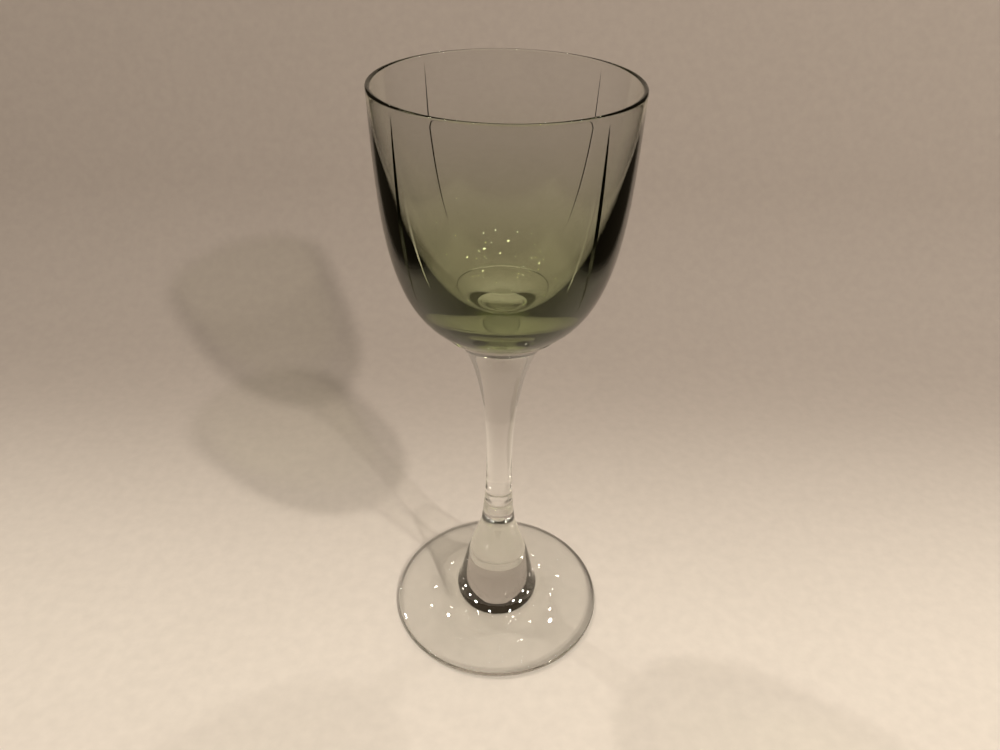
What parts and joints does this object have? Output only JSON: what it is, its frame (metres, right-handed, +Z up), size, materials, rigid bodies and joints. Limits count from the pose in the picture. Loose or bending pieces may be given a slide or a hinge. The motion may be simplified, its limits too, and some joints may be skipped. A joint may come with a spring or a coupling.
{
  "type": "hock wine glass",
  "caption": "Hock wine glass: a deep pale green bowl with fine mitre-cut lines, on a clear slender stem that flares into a clear round foot.",
  "frame": {"origin": "centre of the foot's flat underside, on the axis of the glass", "axes": "+Z up along the axis of the glass, from the foot to the rim; the picture looks along +Y"},
  "size_m": [0.065, 0.065, 0.166],
  "materials": {
    "green_glass": "polished",
    "clear_glass": "polished"
  },
  "bodies": {
    "root": {"bowl": "green_glass", "stem": "clear_glass", "foot": "clear_glass"}
  },
  "joints": []
}
